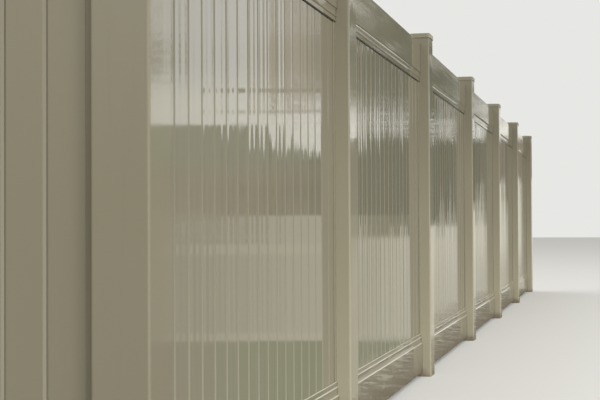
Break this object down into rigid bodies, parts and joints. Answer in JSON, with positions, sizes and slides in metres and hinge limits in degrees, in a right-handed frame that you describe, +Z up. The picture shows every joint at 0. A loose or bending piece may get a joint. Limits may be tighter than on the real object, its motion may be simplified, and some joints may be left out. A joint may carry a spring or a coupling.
{
  "type": "vinyl privacy fence",
  "caption": "Straight run of tan vinyl privacy fence with square posts, stepped rails and upright boards, and one bay turning the corner.",
  "frame": {"origin": "on the ground at the middle of the corner post's foot", "axes": "+X along the straight run, +Y along the return bay, +Z up; the outer side of the run faces -Y"},
  "size_m": [11.5637, 2.0387, 1.698],
  "materials": {
    "post_vinyl": "smooth extruded tan vinyl with a soft gloss",
    "cap_vinyl": "moulded tan vinyl, slightly duller than the posts",
    "rail_vinyl": "smooth extruded tan vinyl, glossy at a low angle",
    "board_vinyl": "smooth extruded tan vinyl boards, mirror-like at a low angle, slightly bowed",
    "channel_vinyl": "smooth extruded tan vinyl"
  },
  "bodies": {
    "root": {"bay_1_board_infill": "board_vinyl", "bay_1_bottom_rail": "rail_vinyl", "bay_1_edge_channels": "channel_vinyl", "bay_1_top_rail": "rail_vinyl", "bay_2_board_infill": "board_vinyl", "bay_2_bottom_rail": "rail_vinyl", "bay_2_edge_channels": "channel_vinyl", "bay_2_top_rail": "rail_vinyl", "bay_3_board_infill": "board_vinyl", "bay_3_bottom_rail": "rail_vinyl", "bay_3_edge_channels": "channel_vinyl", "bay_3_top_rail": "rail_vinyl", "bay_4_board_infill": "board_vinyl", "bay_4_bottom_rail": "rail_vinyl", "bay_4_edge_channels": "channel_vinyl", "bay_4_top_rail": "rail_vinyl", "bay_5_board_infill": "board_vinyl", "bay_5_bottom_rail": "rail_vinyl", "bay_5_edge_channels": "channel_vinyl", "bay_5_top_rail": "rail_vinyl", "bay_6_board_infill": "board_vinyl", "bay_6_bottom_rail": "rail_vinyl", "bay_6_edge_channels": "channel_vinyl", "bay_6_top_rail": "rail_vinyl", "corner_post": "post_vinyl", "corner_post_cap": "cap_vinyl", "end_post": "post_vinyl", "end_post_cap": "cap_vinyl", "line_post_1": "post_vinyl", "line_post_1_cap": "cap_vinyl", "line_post_2": "post_vinyl", "line_post_2_cap": "cap_vinyl", "line_post_3": "post_vinyl", "line_post_3_cap": "cap_vinyl", "line_post_4": "post_vinyl", "line_post_4_cap": "cap_vinyl", "line_post_5": "post_vinyl", "line_post_5_cap": "cap_vinyl", "return_bay_board_infill": "board_vinyl", "return_bay_bottom_rail": "rail_vinyl", "return_bay_edge_channels": "channel_vinyl", "return_bay_top_rail": "rail_vinyl", "return_post": "post_vinyl", "return_post_cap": "cap_vinyl"}
  },
  "joints": []
}
